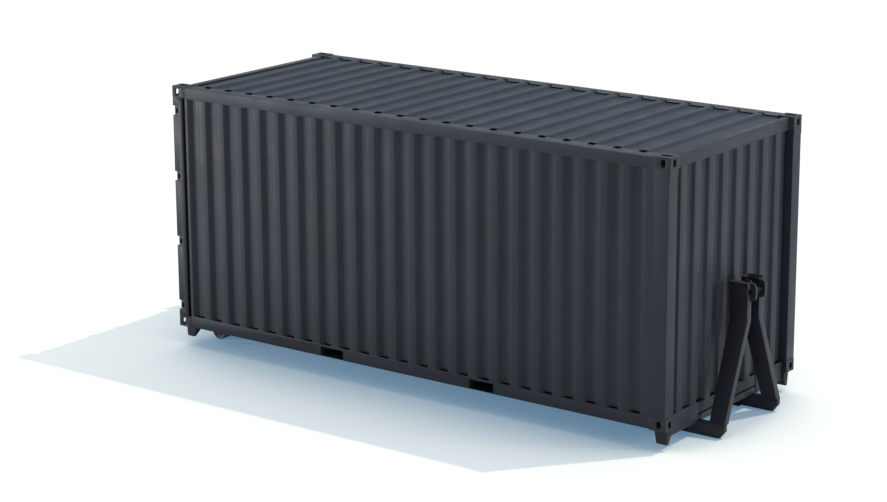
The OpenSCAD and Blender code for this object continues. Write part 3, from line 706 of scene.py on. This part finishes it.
def add_post_plates():
    """Plate with clipped corners under each front top casting, on the face toward the truck."""
    bm = bmesh.new()
    for low, high in islands("front_posts"):
        wide = high.y - low.y - 2 * PLATE_INSET
        plate = [(0, PLATE_CLIP), (PLATE_CLIP, 0), (wide - PLATE_CLIP, 0), (wide, PLATE_CLIP),
                 (wide, PLATE_TALL), (0, PLATE_TALL)]
        prism(bm, plate, (high.x - SKIN, low.y + PLATE_INSET, high.z - PLATE_TALL - BOX_GAP),
              (1, 0, 0), (0, 1, 0), (0, 0, 1), PLATE_THICK + SKIN)
    round_edges(add_trim("post_plates", bm, "box_paint"), 0.0008)


def add_groove_shade(name, node, run, out, sign):
    """Black bead along the foot of each groove of a pressed wall: painted shade where the groove
    meets the member below.
    """
    corners = sheet_edge(node, run, out, sign, False)
    deep = min(sign * c[out] for c in corners) + FLUSH
    outward = [0, 0, 0]
    outward[out] = sign
    bm = bmesh.new()
    for a, b in zip(corners, corners[1:]):
        if sign * a[out] < deep and sign * b[out] < deep:
            prism(bm, GROOVE_SHADE_SECTION, a, (b - a).normalized(), outward, (0, 0, 1), (b - a).length)
    add_trim(name, bm, "painted_shade_black")


# ------------------------------------------------------------------ doors and floor

# Lip seal across its depth (along the door's thickness) and outward from the leaf's edge, as
# shares of the seal's size: a foot with two lips that spread at their ends
SEAL = [(0.0, 0.0), (1.0, 0.0), (1.0, 0.22), (0.80, 0.26), (0.90, 0.72), (1.0, 0.94), (0.88, 1.0),
        (0.74, 0.80), (0.62, 0.30), (0.40, 0.30), (0.30, 0.72), (0.16, 0.98), (0.04, 0.90),
        (0.16, 0.68), (0.20, 0.26), (0.0, 0.22)]
PANEL_GAP = 0.003
PANEL_COUNT = 5
SCREWS_A_BEAM = 5
SCREW_INSET = 0.06
BEAM_MARGIN = 0.02       # a beam closer to a panel's end than this gets no screws
SCREW_RADIUS, SCREW_HEIGHT, SCREW_SUNK = 0.008, 0.0016, 0.0019
GUIDE_THICK, GUIDE_BOLT, GUIDE_BOLT_OFF = 0.008, 0.016, 0.046
GUIDE_LENGTH = 0.1       # shorter solids of the rod guides are handle catches
STRAP_THICK, STRAP_BOLT = 0.012, 0.013
STRAP_BOLT_FIRST, STRAP_BOLT_STEP = 0.018, 0.0279


def add_seal(side):
    """The door's rubber seal: two lips round three edges of the leaf."""
    node = "door_gasket_" + side
    low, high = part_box(node)
    leaf_low, leaf_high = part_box("door_frame_" + side)
    depth = high.x - low.x
    runs = []
    for z, sign in ((leaf_high.z, 1), (leaf_low.z, -1)):
        reach = (high.z - leaf_high.z) if sign > 0 else (leaf_low.z - low.z)
        runs.append((Vector((low.x, low.y, z)), (0, 1, 0), (0, 0, sign), high.y - low.y, reach))
    if side == "right":
        y, out, reach = leaf_low.y, -1, leaf_low.y - low.y
    else:
        y, out, reach = leaf_high.y, 1, high.y - leaf_high.y
    runs.append((Vector((low.x, y, low.z)), (0, 0, 1), (0, out, 0), high.z - low.z, reach))
    bm = bmesh.new()
    for start, along, outward, length, reach in runs:
        section = [(a * depth, b * reach) for a, b in SEAL]
        prism(bm, section, start, along, (1, 0, 0), outward, length)
    piece = add_piece("door_seal_" + side, mesh_of("door_seal_" + side, bm, False), "door_" + side,
                      "door_rubber", [node])
    round_edges(piece, 0.0006)


def add_floor_panels():
    """Plywood panels with gaps between them and screws over the cross members."""
    points = [v.co for v in NODES["floor_boards"].data.vertices]
    low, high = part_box("floor_boards")
    step = sorted({round(p.x, 3) for p in points})[-2]
    narrow = max(p.y for p in points if p.x > step + 0.01)
    panels = []
    for k in range(PANEL_COUNT):
        x0 = low.x + (step - low.x) * k / PANEL_COUNT
        x1 = low.x + (step - low.x) * (k + 1) / PANEL_COUNT
        panels += [(x0, x1, low.y, 0), (x0, x1, 0, high.y)]
    panels += [(step, high.x, -narrow, 0), (step, high.x, 0, narrow)]
    bm, screws = bmesh.new(), bmesh.new()
    beams = sorted({round((a.x + b.x) / 2, 2) for a, b in islands("cross_members")})
    for x0, x1, y0, y1 in panels:
        box = [(x0 + PANEL_GAP / 2, x1 - PANEL_GAP / 2), (y0 + PANEL_GAP / 2, y1 - PANEL_GAP / 2),
               (low.z, high.z)]
        middle = Matrix.Translation([(a + b) / 2 for a, b in box])
        size = Matrix.Diagonal([b - a for a, b in box] + [1])
        bmesh.ops.create_cube(bm, size=1, matrix=middle @ size)
        for x in beams:
            if not x0 + BEAM_MARGIN < x < x1 - BEAM_MARGIN:
                continue
            for k in range(SCREWS_A_BEAM):
                share = k / (SCREWS_A_BEAM - 1)
                y = y0 + SCREW_INSET + (y1 - y0 - 2 * SCREW_INSET) * share
                disc_head(screws, (x, y, high.z - SCREW_SUNK), (0, 0, 1), SCREW_RADIUS,
                          SCREW_HEIGHT)
    piece = add_piece("floor_panels", mesh_of("floor_panels", bm, False), "container",
                      "floor_timber", ["floor_boards"])
    round_edges(piece, 0.001)
    add_piece("floor_screws", mesh_of("floor_screws", screws, False), "container",
              "zinc")


def add_door_bolts(side):
    """Bolts of the rod guides and the hinge straps of one door."""
    bm = bmesh.new()
    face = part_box("door_frame_" + side)[0].x
    for low, high in islands("rod_guides_" + side):
        centre = (low + high) / 2
        if high.y - low.y > GUIDE_LENGTH:
            for s in (-1, 1):
                bolt(bm, (face - GUIDE_THICK, centre.y + s * GUIDE_BOLT_OFF, centre.z),
                     (-1, 0, 0), GUIDE_BOLT)
    for low, high in islands("door_hinges_" + side):
        inner = low.y if side == "left" else high.y
        for k in range(3):
            y = inner + SIDES[side] * (STRAP_BOLT_FIRST + k * STRAP_BOLT_STEP)
            bolt(bm, (face - STRAP_THICK, y, (low.z + high.z) / 2), (-1, 0, 0), STRAP_BOLT)
    add_piece("door_bolts_" + side, mesh_of("door_bolts_" + side, bm, False), "door_" + side,
              "zinc")


# ------------------------------------------------------------------ stage

CASTINGS = [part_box(n) for n in ("bottom_castings", "top_castings")]
CASTINGS_LOW = [min(low[i] for low, _ in CASTINGS) for i in range(3)]
CASTINGS_HIGH = [max(high[i] for _, high in CASTINGS) for i in range(3)]
BOX_MID_X = (CASTINGS_LOW[0] + CASTINGS_HIGH[0]) / 2
BOX_UNDER_Z = CASTINGS_LOW[2]
# the camera's angle round from the right side toward the hook end, its angle up, and its tilt
AZIMUTH, ELEVATION, TILT = math.radians(36.818), math.radians(14.603), math.radians(-0.284)
LENS_MM, SENSOR_MM = 98.84, 36
CAMERA_AHEAD, CAMERA_ASIDE, CAMERA_UP = 14.1546, -19.4748, 7.2906  # from the box's underside
SUN_TOWARD = Vector((0.327, 0.416, 0.850))
SUN_POWER, SUN_WIDTH = 1.9, math.radians(0.8)
SUN_COLOR = (1.0, 0.96, 0.9)
SOFTBOX_SIZE, SOFTBOX_COLOR = 2.4, (0.97, 0.98, 1.0)
# name, place and aim of each soft box, and its watts. One is off the rear end and fades along
# the near side wall, and one is off the front end.
SOFTBOXES = [
    ("softbox_rear", (BOX_MID_X - 10.0, -6.0, 1.5), (BOX_MID_X - 1.5, CASTINGS_LOW[1], 1.4), 500),
    ("softbox_front", (BOX_MID_X + 12.0, 3.0, 3.0), (CASTINGS_HIGH[0], 0, 1.2), 350),
]
SKY = (0.47, 0.52, 0.57, 1)
WHITE = (1, 1, 1, 1)
FLOOR_SIZE, FLOOR_DROP = 150, 0.0005
FLOOR_DARK, FLOOR_PALE = (0.79, 0.79, 0.79, 1), (0.81, 0.81, 0.81, 1)
FLOOR_DIRECT = (0.53, 0.51, 0.43, 1)
# what the floor sends to the camera by itself, in the open and, as painted shade, close to the
# object
GLOW_OPEN = (0.485, 0.540, 0.588, 1)
GLOW_IN_PAINTED_SHADE = (0.088, 0.185, 0.294, 1)
SHADE_REACH = 2.4        # how far from the object its soft shade on the floor is felt
SHADE_STARTS, SHADE_FULL = 0.14, 0.5


def add_camera():
    """The photographed view."""
    ahead = Vector((-math.sin(AZIMUTH) * math.cos(ELEVATION),
                    math.cos(AZIMUTH) * math.cos(ELEVATION), -math.sin(ELEVATION)))
    right = ahead.cross(Vector((0, 0, 1))).normalized()
    above = right.cross(ahead)
    turned_right = math.cos(TILT) * right + math.sin(TILT) * above
    turned_above = -math.sin(TILT) * right + math.cos(TILT) * above
    camera = bpy.data.objects.new("camera", bpy.data.cameras.new("camera"))
    camera.data.lens = LENS_MM
    camera.data.sensor_width = SENSOR_MM
    camera.data.clip_end = 400
    rotation = Matrix((turned_right, turned_above, -ahead)).transposed().to_4x4()
    place = Vector((BOX_MID_X + CAMERA_AHEAD, CAMERA_ASIDE, BOX_UNDER_Z + CAMERA_UP))
    camera.matrix_world = Matrix.Translation(place) @ rotation
    bpy.context.scene.collection.objects.link(camera)
    bpy.context.scene.camera = camera


def add_sun():
    """The sun of the photographed shadow, over the left side and the hook end."""
    sun = bpy.data.objects.new("sun", bpy.data.lights.new("sun", "SUN"))
    sun.data.energy = SUN_POWER
    sun.data.angle = SUN_WIDTH
    sun.data.color = SUN_COLOR
    sun.rotation_euler = SUN_TOWARD.to_track_quat("Z", "Y").to_euler()
    bpy.context.scene.collection.objects.link(sun)


def add_softbox(name, place, target, watts):
    """Round area lamp at a place, aimed at a target."""
    light = bpy.data.objects.new(name, bpy.data.lights.new(name, "AREA"))
    light.data.shape = "DISK"
    light.data.size = SOFTBOX_SIZE
    light.data.energy = watts
    light.data.color = SOFTBOX_COLOR
    light.location = place
    aim = Vector(target) - light.location
    light.rotation_euler = aim.to_track_quat("-Z", "Y").to_euler()
    bpy.context.scene.collection.objects.link(light)


def seen_directly(tree):
    """1 for a ray from the camera, or one that a gloss or a glass sends on."""
    path = tree.nodes.new("ShaderNodeLightPath")
    total = path.outputs["Is Camera Ray"]
    for ray in ("Is Glossy Ray", "Is Transmission Ray"):
        either = tree.nodes.new("ShaderNodeMath")
        either.operation = "MAXIMUM"
        tree.links.new(total, either.inputs[0])
        tree.links.new(path.outputs[ray], either.inputs[1])
        total = either.outputs[0]
    return total


def add_sky():
    """Even bluish light; plain white where it is seen directly."""
    world = bpy.data.worlds.new("studio")
    world.use_nodes = True
    bpy.context.scene.world = world
    tree = world.node_tree
    mix = tree.nodes.new("ShaderNodeMix")
    mix.data_type = "RGBA"
    tree.links.new(seen_directly(tree), mix.inputs[0])
    mix.inputs[6].default_value = SKY
    mix.inputs[7].default_value = WHITE
    tree.links.new(mix.outputs[2], tree.nodes["Background"].inputs["Color"])


def add_floor():
    """Pale floor; seen directly it is white, with a blue tint in the shadow and a painted blue
    shade by the object.
    """
    bm = bmesh.new()
    bmesh.ops.create_grid(bm, x_segments=1, y_segments=1, size=FLOOR_SIZE)
    mesh = mesh_of("floor", bm)
    g = Graph("floor")
    direct = seen_directly(g.tree)
    plain = g.mix(g.noise(2, 2), FLOOR_DARK, FLOOR_PALE)
    g.finish(g.mix(direct, plain, FLOOR_DIRECT), 0.9, g.bump(g.noise(30, 2), 0.0002))
    # painted shade: the floor's glow dims and turns bluer close to the object
    closed_in = g.ramp(g.crevice(SHADE_REACH, 12), SHADE_STARTS, SHADE_FULL)
    painted_shade_share = g.math("POWER", closed_in, 2.0)
    g.put(g.shader.inputs["Emission Color"], g.mix(painted_shade_share, GLOW_OPEN, GLOW_IN_PAINTED_SHADE))
    g.put(g.shader.inputs["Emission Strength"], direct)
    g.shader.inputs["Specular IOR Level"].default_value = 0.0
    mesh.materials.append(g.material)
    floor = bpy.data.objects.new("floor", mesh)
    floor.location.z = CAD_BOX[0][2] - FLOOR_DROP
    bpy.context.scene.collection.objects.link(floor)


# ------------------------------------------------------------------ the scene

for name, node in NODES.items():
    node.data.materials.clear()
    node.data.materials.append(MATERIALS[SLOT_OF[name]])
for name, width in ROUNDED_STEEL.items():
    softened(name, MEMBER_LOOKS.get(name, SLOT_OF[name]), width)
for name, (material, along) in PRESSED_SHEETS.items():
    formed_sheet(name, material, along)
add_welds()
add_roof_shade_fillers()
add_roof_edges()
add_post_plates()
for side, sign in SIDES.items():
    add_groove_shade("groove_shade_" + side, "side_wall_" + side, 0, 1, sign)
    add_seal(side)
    add_door_bolts(side)
add_groove_shade("groove_shade_front", "front_wall", 1, 0, 1)
add_floor_panels()

add_camera()
add_sun()
for softbox in SOFTBOXES:
    add_softbox(*softbox)
add_sky()
add_floor()
bpy.context.scene.view_settings.view_transform = "Standard"
